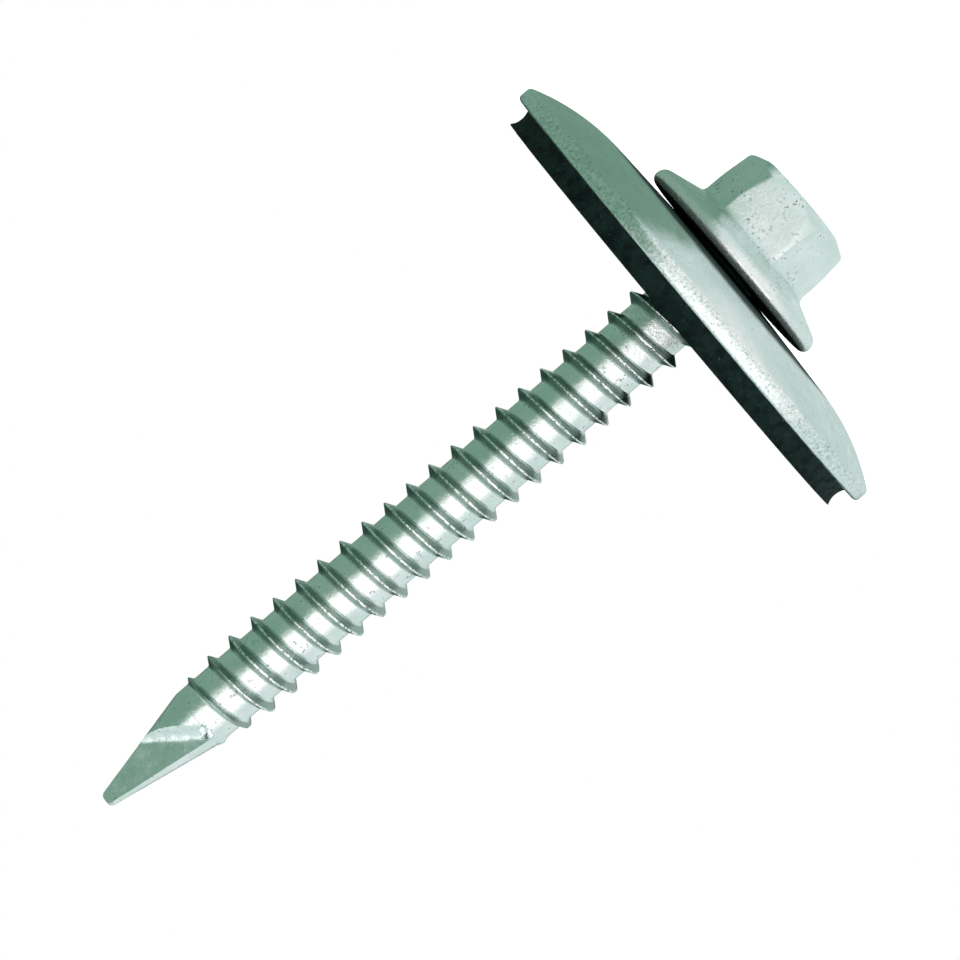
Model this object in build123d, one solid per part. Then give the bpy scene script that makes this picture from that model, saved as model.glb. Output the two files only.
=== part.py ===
from build123d import *
import os
from math import asin, cos, radians, sin, tan

# Self drilling screw with a bonded sealing washer, standing on its head.
# Origin: centre of the head's top face.  +Z runs up the shank to the drill point.  Millimetres.

# --- head -----------------------------------------------------------------------------------
ACROSS_FLATS = 7.9            # hex size where it meets the flange
HEX_DRAFT = 1.0               # degrees that each flat leans in towards the top of the head
HEX_TURN = 9.3                # degrees that the hex is turned about the screw's axis
HEX_EDGE_ROUND = 0.25         # rounding along the six upright edges
HEAD_HEIGHT = 6.06            # from the head's top face to the flange's seat
CROWN_FLAT_DIAMETER = 6.3     # flat left on top of the head inside the crown chamfer
CROWN_SHOULDER_DIAMETER = 8.45  # where the crown chamfer turns into the long corner taper
CROWN_SHOULDER_DEPTH = 0.5
CROWN_SHOULDER_ROUND = 0.7
CORNER_TAPER_DEPTH = 3.1      # where the corner taper has run out to the full corners

# --- flange ---------------------------------------------------------------------------------
FLANGE_DIAMETER = 14.2
FLANGE_RIM_HEIGHT = 1.02      # seat to the sharp corner where rim and cone would meet
FLANGE_CONE_ANGLE = 19.0      # degrees of the cone above the rim
FLANGE_SEAT_ROUND = 0.48      # rounding of the rim at the seat
FLANGE_TOP_ROUND = 0.72       # rounding of the rim into the cone
HEX_FOOT_ROUND = 0.55         # fillet between the hex and the flange's cone

# --- shank and thread -----------------------------------------------------------------------
NECK_DIAMETER = 4.6           # plain blank inside the washer
ROOT_DIAMETER = 4.07
THREAD_DIAMETER = 5.31
PITCH = 1.8
THREAD_BASE = 0.86            # width of one turn at its root
THREAD_CREST = 0.09           # width of one turn at its crest
THREAD_SINK = 0.3             # how far the turns are sunk into the core
CREST_PHASE = 11.49           # height of one crest on the +X side
THREAD_START_GAP = 0.35       # from the end of the neck to the first rise of the thread
THREAD_RISE = 1.5             # length over which the thread grows out of the neck
THREAD_FADE = 4.2             # length over which the thread dies out towards the point
THREAD_OVERRUN = 0.4          # how far its last trace runs on over the base of the point

# --- drill point ----------------------------------------------------------------------------
SHANK_LENGTH = 50.26          # from the flange's seat to the tip
POINT_LENGTH = 7.85           # the tapered point
POINT_BASE_DIAMETER = 4.18    # the point is a little fatter than the thread's root
TIP_DIAMETER = 0.94
TIP_ROUND = 0.3
TIP_OFFSET = 0.18             # the forged tip sits off the axis, towards -X
FLUTE_TURN = 22.8             # degrees that the flute floors are turned from facing -Y and +Y
WEB_AT_BASE = 1.56            # thickness between the two flute floors at the point's base
WEB_AT_TIP = 0.42             # and at the tip
FLUTE_END_HEIGHT = 4.99       # from the tip down to where the flute's end wall crosses the axis
FLUTE_END_ANGLE = 51.5        # degrees of the slanting end wall from level
FLUTE_END_ROUND = 0.75        # radius of the concave end wall
FLUTE_END_SWEEP = 70.0        # degrees that the end wall curls up through

# --- sealing washer -------------------------------------------------------------------------
SEAT_GAP = 0.04               # least gap between the flange seat and the washer
WASHER_DIAMETER = 32.0
WASHER_BORE = 5.1
WASHER_THICKNESS = 1.0
DISH_FLAT_RADIUS = 9.7        # almost flat middle of the dish
DISH_SLOPE = 2.5              # degrees that the middle slopes
DISH_ARC = 14.3               # radius of the skirt's outer face
RIM_TOP_ROUND = 0.38
RIM_UNDER_ROUND = 0.3
SEAL_DIAMETER = 30.4
SEAL_BORE = 4.95
SEAL_THICKNESS = 1.45
SEAL_EDGE_HOLLOW = 0.28       # depth of the hollow in the squeezed outer edge
SEAL_FOOT_INSET = 0.1         # how much narrower the seal is at its lower edge
WASHER_TILT = 1.9             # degrees that the loose washer sits askew on the neck
WASHER_TILT_TOWARDS = 249.0   # direction of the side that leans away from the flange

TIP_HEIGHT = HEAD_HEIGHT + SHANK_LENGTH
POINT_BASE_HEIGHT = TIP_HEIGHT - POINT_LENGTH
CROWN_DROP = max(
    WASHER_BORE / 2 * sin(radians(WASHER_TILT)),
    FLANGE_DIAMETER / 2 * sin(radians(WASHER_TILT))
    - (FLANGE_DIAMETER - WASHER_BORE) / 2 * sin(radians(DISH_SLOPE)),
)
WASHER_CROWN_HEIGHT = HEAD_HEIGHT + SEAT_GAP + CROWN_DROP


def turned(points, radii=None):
    """A solid of revolution about Z from (radius, height) points, with rounded corners."""
    outline = Polyline(*points, close=True)
    face = Plane.XZ * make_face(outline)
    for (radius, height), rounding in (radii or {}).items():
        corner = face.vertices().sort_by_distance((radius, 0, height))[0]
        face = fillet(corner, rounding)
    return revolve(face, axis=Axis.Z)


def make_flange():
    """The round flange: seat, rounded rim and cone, as a disc without the hex."""
    rim = FLANGE_DIAMETER / 2
    seat_corner = (rim, HEAD_HEIGHT)
    cone_corner = (rim, HEAD_HEIGHT - FLANGE_RIM_HEIGHT)
    apex = cone_corner[1] - rim * tan(radians(FLANGE_CONE_ANGLE))
    return turned(
        [(0, HEAD_HEIGHT), seat_corner, cone_corner, (0, apex)],
        {seat_corner: FLANGE_SEAT_ROUND, cone_corner: FLANGE_TOP_ROUND},
    )


def make_hex():
    """The drafted hexagon with its crown chamfer and tapered corners, down into the flange."""
    depth = HEAD_HEIGHT - FLANGE_RIM_HEIGHT
    corner = ACROSS_FLATS / 2 / cos(radians(30))
    base = Pos(0, 0, depth) * RegularPolygon(corner, 6, rotation=HEX_TURN)
    prism = extrude(base, amount=depth, dir=(0, 0, -1), taper=HEX_DRAFT)
    upright = prism.edges().filter_by(lambda e: abs(e.tangent_at(0.5).Z) > 0.9)
    prism = fillet(upright, HEX_EDGE_ROUND)
    shoulder = (CROWN_SHOULDER_DIAMETER / 2, CROWN_SHOULDER_DEPTH)
    wide = corner + HEX_EDGE_ROUND
    crown = turned(
        [(0, 0), (CROWN_FLAT_DIAMETER / 2, 0), shoulder, (corner, CORNER_TAPER_DEPTH),
         (wide, CORNER_TAPER_DEPTH), (wide, depth), (0, depth)],
        {shoulder: CROWN_SHOULDER_ROUND},
    )
    return prism & crown


def make_head():
    """Hexagon and flange as one forging, with the fillet at the foot of the hexagon."""
    head = make_flange() + make_hex()
    foot = head.edges().filter_by(
        lambda e: CORNER_TAPER_DEPTH < e.center().Z < HEAD_HEIGHT - FLANGE_RIM_HEIGHT
        and abs(e.tangent_at(0.5).Z) < 0.5
        and e.length < ACROSS_FLATS
    )
    return fillet(foot, HEX_FOOT_ROUND)


def make_thread(start, end):
    """The rolled right-hand thread, grown out of the neck and faded out towards the point."""
    inner = ROOT_DIAMETER / 2 - THREAD_SINK
    height = THREAD_DIAMETER / 2 - inner
    flank = (THREAD_BASE - THREAD_CREST) / (THREAD_DIAMETER - ROOT_DIAMETER)
    foot = THREAD_CREST + 2 * flank * height
    first_turn = CREST_PHASE - PITCH * round((CREST_PHASE - start) / PITCH + 1)
    turns = round((end - first_turn) / PITCH + 1)
    path = Helix(PITCH, PITCH * turns, inner, center=(0, 0, first_turn))
    tooth = make_face(
        Polyline((0, -foot / 2), (height, -THREAD_CREST / 2), (height, THREAD_CREST / 2),
                 (0, foot / 2), close=True)
    )
    coil = sweep(Plane(origin=path @ 0, x_dir=(1, 0, 0), z_dir=path % 0) * tooth,
                 path=path, is_frenet=True)
    outer = THREAD_DIAMETER / 2 + THREAD_SINK
    envelope = turned([
        (0, start), (ROOT_DIAMETER / 2 - THREAD_SINK / 2, start), (outer, start + THREAD_RISE),
        (outer, end - THREAD_FADE), (ROOT_DIAMETER / 2 - THREAD_SINK / 2, end), (0, end),
    ])
    return coil & envelope


def make_point():
    """The tapered point before its flutes: an oblique cone with a rounded tip."""
    base = Plane(origin=(0, 0, POINT_BASE_HEIGHT)) * Circle(POINT_BASE_DIAMETER / 2)
    tip = Plane(origin=(-TIP_OFFSET, 0, TIP_HEIGHT)) * Circle(TIP_DIAMETER / 2)
    cone = loft([base.face(), tip.face()], ruled=True)
    tip_edge = cone.edges().sort_by(Axis.Z)[-1]
    return fillet(tip_edge, TIP_ROUND)


def flute_cutter():
    """The tool that presses one flute: a flat floor that curls up at a slanting end wall."""
    slope = (WEB_AT_BASE - WEB_AT_TIP) / 2 / POINT_LENGTH
    facing = Vector(sin(radians(FLUTE_TURN)), -cos(radians(FLUTE_TURN)), slope).normalized()
    level = Vector(cos(radians(FLUTE_TURN)), sin(radians(FLUTE_TURN)), 0)
    upward = facing.cross(level).normalized()
    if upward.Z < 0:
        upward = -upward
    along = level * cos(radians(FLUTE_END_ANGLE)) + upward * sin(radians(FLUTE_END_ANGLE))
    across = upward * cos(radians(FLUTE_END_ANGLE)) - level * sin(radians(FLUTE_END_ANGLE))
    half_web = WEB_AT_TIP / 2 + slope * FLUTE_END_HEIGHT
    crossing = TIP_HEIGHT - FLUTE_END_HEIGHT
    origin = Vector(sin(radians(FLUTE_TURN)), -cos(radians(FLUTE_TURN)), 0) * half_web
    plane = Plane(origin=origin + Vector(0, 0, crossing), x_dir=across, z_dir=across.cross(facing))

    reach = 2 * POINT_LENGTH
    tall = 2 * POINT_BASE_DIAMETER
    sweep_angle = radians(FLUTE_END_SWEEP)
    curl = [
        (-FLUTE_END_ROUND * sin(a), FLUTE_END_ROUND * (1 - cos(a)))
        for a in (0, sweep_angle / 2, sweep_angle)
    ]
    run = tall - curl[2][1]
    lip = (curl[2][0] - run / tan(sweep_angle), tall)
    outline = [ThreePointArc(*curl), Polyline(curl[2], lip, (reach, tall), (reach, 0), curl[0])]
    profile = plane * make_face(outline)
    return extrude(profile, amount=reach, both=True)


def make_screw():
    """Head, neck, threaded shank and drill point, which are one piece of steel."""
    neck_end = WASHER_CROWN_HEIGHT + WASHER_THICKNESS + SEAL_THICKNESS
    neck_radius = NECK_DIAMETER / 2
    root_radius = ROOT_DIAMETER / 2
    step = neck_radius - root_radius
    shank = turned([
        (0, HEAD_HEIGHT - FLANGE_RIM_HEIGHT), (neck_radius, HEAD_HEIGHT - FLANGE_RIM_HEIGHT),
        (neck_radius, neck_end), (root_radius, neck_end + step),
        (root_radius, POINT_BASE_HEIGHT), (0, POINT_BASE_HEIGHT),
    ])
    cutter = flute_cutter()
    point = make_point()
    thread_end = POINT_BASE_HEIGHT + THREAD_OVERRUN
    body = shank + point + make_thread(neck_end + THREAD_START_GAP, thread_end)
    body = body - cutter - Rot(0, 0, 180) * cutter
    return body + make_head()


def dish_height(radius):
    """Height of the washer's crown side at a radius inside the almost flat middle."""
    return WASHER_CROWN_HEIGHT + (radius - WASHER_BORE / 2) * sin(radians(DISH_SLOPE))


def dish_layer(depth, inner, outer):
    """The curve of the dish at a depth under its crown side: a line and the skirt's arc."""
    slope = radians(DISH_SLOPE)
    centre = (DISH_FLAT_RADIUS - DISH_ARC * sin(slope),
              dish_height(DISH_FLAT_RADIUS) + DISH_ARC * cos(slope))
    arc = DISH_ARC - depth

    def on_arc(angle):
        return centre[0] + arc * sin(angle), centre[1] - arc * cos(angle)

    last = asin((outer - centre[0]) / arc)
    bend = on_arc(slope)
    start = (inner, bend[1] - (bend[0] - inner) * tan(slope))
    return [Line(start, bend), ThreePointArc(bend, on_arc((slope + last) / 2), on_arc(last))]


def askew(solid):
    """Tilts the washer or its seal about the middle of its crown, as it sits loose on the neck."""
    towards = radians(WASHER_TILT_TOWARDS)
    level = Axis((0, 0, WASHER_CROWN_HEIGHT), (sin(towards), -cos(towards), 0))
    return solid.rotate(level, WASHER_TILT)


def make_steel_washer():
    """The dished disc: even thickness, a bore round the neck and a rolled rim."""
    bore = WASHER_BORE / 2
    rim = WASHER_DIAMETER / 2
    crown = dish_layer(0, bore, rim)
    under = dish_layer(WASHER_THICKNESS, bore, rim)
    ends = [Line(crown[0] @ 0, under[0] @ 0), Line(crown[1] @ 1, under[1] @ 1)]
    face = Plane.XZ * make_face(crown + under + ends)
    for corner, rounding in ((crown[1] @ 1, RIM_TOP_ROUND), (under[1] @ 1, RIM_UNDER_ROUND)):
        vertex = face.vertices().sort_by_distance((corner.X, 0, corner.Y))[0]
        face = fillet(vertex, rounding)
    return askew(revolve(face, axis=Axis.Z))


def make_rubber_seal():
    """The rubber ring bonded under the dish, with its hollow outer edge."""
    bore = SEAL_BORE / 2
    rim = SEAL_DIAMETER / 2
    bonded = dish_layer(WASHER_THICKNESS, bore, rim)
    free = dish_layer(WASHER_THICKNESS + SEAL_THICKNESS, bore, rim - SEAL_FOOT_INSET)
    top, foot = bonded[1] @ 1, free[1] @ 1
    middle = (top + foot) / 2
    hollow = ThreePointArc(top, (middle.X - SEAL_EDGE_HOLLOW, middle.Y), foot)
    inner = Line(bonded[0] @ 0, free[0] @ 0)
    face = Plane.XZ * make_face(bonded + free + [hollow, inner])
    return askew(revolve(face, axis=Axis.Z))


def main():
    os.makedirs("parts", exist_ok=True)
    makers = {
        "screw": make_screw,
        "steel_washer": make_steel_washer,
        "rubber_seal": make_rubber_seal,
    }
    for name, make in makers.items():
        export_step(make(), f"parts/{name}.step")


main()
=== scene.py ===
from math import asin, cos, pi, radians, sin, tan

import bmesh
import bpy
import numpy as np
from mathutils import Matrix, Vector, noise


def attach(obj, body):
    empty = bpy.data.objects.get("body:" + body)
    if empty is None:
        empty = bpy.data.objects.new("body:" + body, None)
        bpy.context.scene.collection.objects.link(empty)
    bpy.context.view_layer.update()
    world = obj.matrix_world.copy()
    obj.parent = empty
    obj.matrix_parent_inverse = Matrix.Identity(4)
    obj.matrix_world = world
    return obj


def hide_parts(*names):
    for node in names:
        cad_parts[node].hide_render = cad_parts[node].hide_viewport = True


# Self drilling screw with a bonded sealing washer, standing on its head on a pale floor.
# The frame is in metres; the sizes below are in millimetres, as in the part's source.
MM = 0.001

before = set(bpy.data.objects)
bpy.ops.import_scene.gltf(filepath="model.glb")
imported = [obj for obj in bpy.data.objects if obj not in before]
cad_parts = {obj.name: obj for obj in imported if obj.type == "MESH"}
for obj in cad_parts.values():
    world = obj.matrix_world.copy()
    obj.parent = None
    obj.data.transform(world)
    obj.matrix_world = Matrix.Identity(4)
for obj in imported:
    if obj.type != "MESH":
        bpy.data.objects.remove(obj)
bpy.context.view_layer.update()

# ---------------------------------------------------------------- sizes shared with the CAD
ACROSS_FLATS = 7.9
HEX_DRAFT = radians(1.0)
HEX_TURN = radians(9.3)
HEX_EDGE_ROUND = 0.25
HEAD_HEIGHT = 6.06
CROWN_FLAT = 6.3 / 2
CROWN_SHOULDER = 8.45 / 2
CROWN_SHOULDER_DEPTH = 0.5
CORNER_TAPER_DEPTH = 3.1
FLANGE_RADIUS = 14.2 / 2
FLANGE_RIM_HEIGHT = 1.02
FLANGE_CONE = radians(19.0)
FLANGE_SEAT_ROUND = 0.48
FLANGE_TOP_ROUND = 0.72
HEX_FOOT_ROUND = 0.55
NECK_RADIUS = 4.6 / 2
ROOT_RADIUS = 4.07 / 2
THREAD_RADIUS = 5.31 / 2
PITCH = 1.8
THREAD_BASE = 0.86
THREAD_CREST = 0.09
CREST_PHASE = 11.49
THREAD_START_GAP = 0.35
THREAD_RISE = 1.5
THREAD_FADE = 4.2
THREAD_OVERRUN = 0.4
THREAD_SINK = 0.3
SHANK_LENGTH = 50.26
POINT_LENGTH = 7.85
POINT_BASE_RADIUS = 4.18 / 2
TIP_RADIUS = 0.94 / 2
TIP_ROUND = 0.3
TIP_OFFSET = 0.18
FLUTE_TURN = radians(22.8)
WEB_AT_BASE = 1.56
WEB_AT_TIP = 0.42
FLUTE_END_HEIGHT = 4.99
FLUTE_END_ANGLE = radians(51.5)
FLUTE_END_ROUND = 0.75
FLUTE_END_SWEEP = radians(70.0)
SEAT_GAP = 0.04
WASHER_RADIUS = 32.0 / 2
WASHER_BORE = 5.1 / 2
WASHER_THICKNESS = 1.0
DISH_FLAT_RADIUS = 9.7
DISH_SLOPE = radians(2.5)
DISH_ARC = 14.3
RIM_TOP_ROUND = 0.38
RIM_UNDER_ROUND = 0.3
SEAL_RADIUS = 30.4 / 2
SEAL_BORE = 4.95 / 2
SEAL_THICKNESS = 1.45
SEAL_EDGE_HOLLOW = 0.28
SEAL_FOOT_INSET = 0.1
WASHER_TILT = radians(1.9)
WASHER_TILT_TOWARDS = radians(249.0)

TIP_HEIGHT = HEAD_HEIGHT + SHANK_LENGTH
POINT_BASE_HEIGHT = TIP_HEIGHT - POINT_LENGTH
CROWN_DROP = max(
    WASHER_BORE * sin(WASHER_TILT),
    FLANGE_RADIUS * sin(WASHER_TILT) - (FLANGE_RADIUS - WASHER_BORE) * sin(DISH_SLOPE),
)
WASHER_CROWN_HEIGHT = HEAD_HEIGHT + SEAT_GAP + CROWN_DROP
NECK_END = WASHER_CROWN_HEIGHT + WASHER_THICKNESS + SEAL_THICKNESS
THREAD_START = NECK_END + THREAD_START_GAP
SHANK_START = NECK_END + NECK_RADIUS - ROOT_RADIUS
THREAD_END = POINT_BASE_HEIGHT + THREAD_OVERRUN

# Fine detail that only the visual mesh has, in millimetres
CROWN_BLEND = 0.35            # softness between the crown's chamfer and its corner taper
CORNER_BLEND = 0.06           # and between both and the hexagon's walls
CREST_BLEND = 0.05            # softness between the thread's flanks and the root
CREST_WEAR = 0.05             # depth of the nicks along the thread's crest
CREST_WEAR_WIDTH = 0.12
CREST_WEAR_GRAIN = 3.2        # nicks to a millimetre
WALL_WAVE = 0.008             # unevenness of the rolled surface
WALL_GRAIN = 1.7
POINT_BLEND = 0.08            # length over which the shank runs into the point
BURR_HEIGHT = 0.16            # lip squeezed out beside the end of the flute
BURR_SIZE = 0.22
BURR_SPREAD = 0.2
BURR_ANGLE = radians(184.0)
BURR_Z = 48.35
FLUTE_WAVE = 0.02             # unevenness of the pressed flute
FLUTE_WAVE_GRAIN = 2.3
FLUTE_TEAR = 0.6              # ragged bite where the flute tears out at its end
FLUTE_TEAR_GRAIN = 4.1
FLUTE_TEAR_HEIGHT = 48.9      # below this the bite is whole, above it only a share
FLUTE_TEAR_SHARE = 0.15
SEAL_NUB = 0.3                # rags left by the die on the rubber's lower edge
SEAL_NUB_GRAIN = 0.8
SEAL_NUB_TALL = 0.8           # height over which the rags fade out
SEAL_NUB_SLICE = 7.0          # where the rags' noise is cut through
SEAL_WAVE = 0.05
SEAL_WAVE_GRAIN = 1.9
SEAL_EDGE_BAND = 0.6          # width of the rubber's uneven edge
SEAL_EDGE_FADE = 0.5
RIM_WAVE = 0.012              # unevenness of the steel washer's rim, always inwards
RIM_WAVE_COUNTS = (23, 9)     # waves in a turn
RIM_WAVE_STARTS = (1.1, 0.4)
RIM_WAVE_MIDDLE = 1.5

# How the meshes are divided
LEAST_SQUARE = 1e-8           # keeps the point's radius above zero, in square millimetres
WELD_DISTANCE = 0.0005        # points of a mesh nearer than this are one point
SECTOR_COLUMNS = 27           # columns of points in each sixth of a turn of the screw
COLUMN_CROWDING = 0.09        # how much they crowd towards the hexagon's corners
TOP_RADII = (0, 0.8, 1.6, 2.3, 2.8, 3.05)
HEX_HEIGHTS = (0.012, 0.05, 0.1, 0.16, 0.22, 0.28, 0.34, 0.4, 0.46, 0.53, 0.61, 0.7, 0.82, 0.96,
               1.12, 1.3, 1.5, 1.75, 2.0, 2.3, 2.6, 2.9)
CONE_SHARES = (0.2, 0.4, 0.6, 0.8, 1.0)
FLANGE_STEPS = 9              # rings in the hexagon's foot and in the flange's upper round
SEAT_STEPS = 8
SEAT_RADII = (5.6, 4.4, 3.2)
NECK_HEIGHTS = (6.6, 7.3, 8.0)
THREAD_ROWS = (0.03, THREAD_CREST / 2, 0.17, 0.3, 0.4, 0.46, 0.56, 0.72)
POINT_RINGS = 70
TIP_RINGS = 10
TIP_START = 0.1               # share of the tip's round where its first ring lies
CAP_SHARES = (0.66, 0.33, 0.0)
FLUTE_STEP = 0.16             # spacing of the points on the tool that presses a flute
FLUTE_REACH = 9.6
FLUTE_TALL = 5.0
FLUTE_CURL_STEPS = 9
WASHER_COLUMNS = 384
DISH_FLAT_STEPS = 10
DISH_SKIRT_STEPS = 26
RIM_TOP_STEPS = 8
RIM_UNDER_STEPS = 7
RIM_LEAD = 4                  # points back from the rim that give the dish's direction there
RIM_CLEAR = 0.02              # least space between the dish's points and the rim's rounds
SEAL_EDGE_STEPS = 14
SCREW_SHARP = radians(38)     # edges sharper than this stay crisp
WASHER_SHARP = radians(50)
SEAL_SHARP = radians(40)

# Materials. Grains are (number to a millimetre, detail, roughness). A band is the pair of
# values between which a mask rises from 0 to 1; a step is such a pair measured from a place.
SCREW_PALE = (0.90, 0.93, 0.93, 1)
SCREW_GREEN = (0.76, 0.84, 0.81, 1)
SCREW_ROUGHNESS = 0.24
SCREW_SPECKLE = 0.8           # strength of the grains, pits and relief
WASHER_PALE = (0.74, 0.81, 0.80, 1)
WASHER_GREEN = (0.66, 0.75, 0.72, 1)
WASHER_ROUGHNESS = 0.25
WASHER_SPECKLE = 0.3
ZINC_CLOUDS = (0.45, 4.0)
CLOUD_BAND = (0.35, 0.68)
ZINC_GRAINS = (5.5, 4.0, 0.7)
SPARK_BAND = (0.60, 0.72)
SPARK_SHARE = 0.55
SPARK_COLOUR = (0.95, 0.98, 0.97, 1)
ZINC_PATCHES = (0.9, 2.0)
PATCH_BAND = (0.45, 0.65)
ZINC_PITS = (4.2, 3.0, 0.65)
PIT_BAND = (0.58, 0.65)
PIT_SHARE = 0.8
PIT_DEPTH = 0.6
DARK_ZINC_COLOUR = (0.05, 0.09, 0.075, 1)    # inside the pits, and as painted shade where the metal is torn
GLOSS_CLOUDS = (1.6, 4.0)
GLOSS_BAND = (0.3, 0.7)
GLOSS_LESS = 0.07
GLOSS_MORE = 0.09
ZINC_RELIEF = (4.5, 4.0, 0.68)
ZINC_BUMP = 0.8
ZINC_BUMP_HEIGHT = 0.000028   # metres
ZINC_SPECULAR = 0.15
# Painted shade inside the gap between the flange and the washer: dark, rougher and less metallic
GAP_SHADE_COLOUR = (0.018, 0.042, 0.038, 1)
GAP_SHADE_ROUGHNESS = 0.4         # added inside the gap
SEAT_SHADE_STEP = (-0.14, -0.03)    # from the flange's seat
NECK_SHADE_STEP = (0.9, 0.1)        # from the neck's end
GAP_SHADE_RADIUS = 9.3        # millimetres out to which the washer has painted shade under the flange
GAP_SHADE_STEP = (1.5, 0.0)
GAP_SHADE_SHIFT = 1.7         # the painted shade is off centre by this much towards -Y
GAP_SHADE_GRAIN = 1.1
GAP_SHADE_RAGGED = 0.6
# Painted shade on the thread's flanks
FLANK_FOOT_STEP = (0.07, 0.2)       # from the root's radius, where the flank's painted shade starts
FLANK_TOP_STEP = (-0.03, -0.1)      # from the crest's radius, where it ends
FLANK_SHADE_SHARE = 0.72
FLANK_SHADE_COLOUR = (0.16, 0.25, 0.20, 1)
# Painted highlight in short dashes along the thread's crest, painted shade in the gaps between them
CREST_STEP = (-0.1, -0.04)          # from the crest's radius
CREST_DASH_BAND = (0.44, 0.54)
CREST_GAP_BAND = (0.52, 0.44)
CREST_GAP_SHARE = 0.8
CREST_GAP_SHADE_COLOUR = (0.14, 0.22, 0.18, 1)
# colour of the painted highlights on the crests and on the washer's rim
HIGHLIGHT_COLOUR = (0.97, 0.99, 0.98, 1)
THREAD_PAINT_START_STEP = (0.0, 0.1)        # from the neck's end
THREAD_PAINT_END_STEP = (0.0, -0.6)         # from the thread's end
# Painted shade in the torn pit at each flute's end
TEAR_PLACE = (-1.1, -1.5, 48.85)    # middle of the painted shade in the torn pit at the near flute's end
TEAR_SIZE = 0.86
TEAR_STEP = (0.0, -0.08)
TEAR_RAGGED = 1.25
TEAR_GRAINS = (5.0, 5.0, 0.75)
TEAR_SHARE = 0.85
# The flange's rim painted pale and less metallic: a painted highlight
FLANGE_LOW_STEP = (0.0, 0.3)        # from the height of the flange's rim
FLANGE_HIGH_STEP = (-0.05, -0.16)   # from the seat
FLANGE_OUT_STEP = (-0.7, -0.4)      # from the flange's radius
FLANGE_RIM_HIGHLIGHT_SHARE = 0.8
RIM_DULL = 0.2                # how much less metallic the flange's rim is, for its painted highlight
FLANGE_RIM_HIGHLIGHT_COLOUR = (0.93, 0.96, 0.95, 1)
# The washer's rim: painted highlight, broken by dark specks
WASHER_RIM_HIGHLIGHT_STEP = (-0.4, -0.14)       # from the washer's radius
WASHER_RIM_HIGHLIGHT_BAND = (0.48, 0.6)
WASHER_RIM_HIGHLIGHT_SHARE = 0.8
RIM_DARK_BAND = (0.44, 0.34)
RIM_DARK_SHARE = 0.6
RIM_DARK_COLOUR = (0.12, 0.18, 0.15, 1)
RUBBER_CLOUDS = (1.2, 4.0)
RUBBER_CLOUD_BAND = (0.35, 0.65)
RUBBER_DARK = (0.0035, 0.010, 0.010, 1)
RUBBER_PALE = (0.010, 0.026, 0.022, 1)
RUBBER_SPECKS = (6.0, 2.0, 0.7)
RUBBER_SPECK_BAND = (0.66, 0.72)
RUBBER_SPECK_SHARE = 0.5
RUBBER_SPECK_COLOUR = (0.10, 0.16, 0.14, 1)
RUBBER_GLOSS = (2.5, 3.0)
RUBBER_ROUGHNESS = (0.72, 0.95)
RUBBER_SPECULAR = 0.12
RUBBER_RELIEF = (4.0, 5.0, 0.7)
RUBBER_BUMP = 0.7
RUBBER_BUMP_HEIGHT = 0.00006  # metres


# ---------------------------------------------------------------- mesh helpers
def build_mesh(name, points_mm, faces, weld):
    """An object in the scene from points in millimetres, its faces turned outwards."""
    mesh = bpy.data.meshes.new(name)
    mesh.from_pydata((np.asarray(points_mm) * MM).tolist(), [], faces)
    work = bmesh.new()
    work.from_mesh(mesh)
    if weld:
        bmesh.ops.remove_doubles(work, verts=work.verts, dist=WELD_DISTANCE * MM)
    bmesh.ops.recalc_face_normals(work, faces=work.faces)
    work.to_mesh(mesh)
    work.free()
    obj = bpy.data.objects.new(name, mesh)
    bpy.context.scene.collection.objects.link(obj)
    return obj


def add_mesh(name, points_mm, faces, body, node):
    """One piece of the part, riding on a body in the place of a CAD node."""
    obj = build_mesh(name, points_mm, faces, True)
    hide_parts(node)
    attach(obj, body)
    return obj


def quads(rows, columns, wrap, offset=0):
    """Faces of a grid of points, row by row, closed round its columns if wrap is set."""
    faces = []
    last = columns if wrap else columns - 1
    for row in range(rows - 1):
        low = offset + row * columns
        high = low + columns
        for column in range(last):
            after = (column + 1) % columns
            faces.append((low + column, low + after, high + after, high + column))
    return faces


def smooth_min(a, b, k):
    """The lower of two values, rounded off where they are nearer than k."""
    blend = np.clip(0.5 + 0.5 * (b - a) / k, 0, 1)
    return b * (1 - blend) + a * blend - k * blend * (1 - blend)


def smooth_max(a, b, k):
    """The higher of two values, rounded off where they are nearer than k."""
    return -smooth_min(-a, -b, k)


def shade(obj, sharp_angle):
    """Smooth shading, with edges sharper than the angle kept crisp."""
    mesh = obj.data
    mesh.polygons.foreach_set("use_smooth", np.ones(len(mesh.polygons), bool))
    mesh.set_sharp_from_angle(angle=sharp_angle)


# ---------------------------------------------------------------- screw
def screw_angles():
    """Column angles, closer together near the hexagon's corners."""
    share = np.arange(SECTOR_COLUMNS) / SECTOR_COLUMNS
    eased = share - COLUMN_CROWDING * np.sin(2 * pi * share)
    turns = [HEX_TURN + pi / 3 * (k + eased) for k in range(6)]
    return np.concatenate(turns)


def hex_radius(angle, z):
    """Distance from the axis to the drafted hexagon with rounded upright edges."""
    apothem = ACROSS_FLATS / 2 - tan(HEX_DRAFT) * (HEAD_HEIGHT - FLANGE_RIM_HEIGHT - z)
    off_face = np.mod(angle - HEX_TURN, pi / 3) - pi / 6
    flat = apothem / np.cos(off_face)
    off_corner = pi / 6 - np.abs(off_face)
    centre = (apothem - HEX_EDGE_ROUND) / cos(pi / 6)
    reach = HEX_EDGE_ROUND ** 2 - (centre * np.sin(off_corner)) ** 2
    rounded = centre * np.cos(off_corner) + np.sqrt(np.maximum(reach, 0))
    tangent = np.arctan2(HEX_EDGE_ROUND / 2, centre + HEX_EDGE_ROUND * cos(pi / 6))
    return np.where(off_corner < tangent, rounded, flat)


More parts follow.
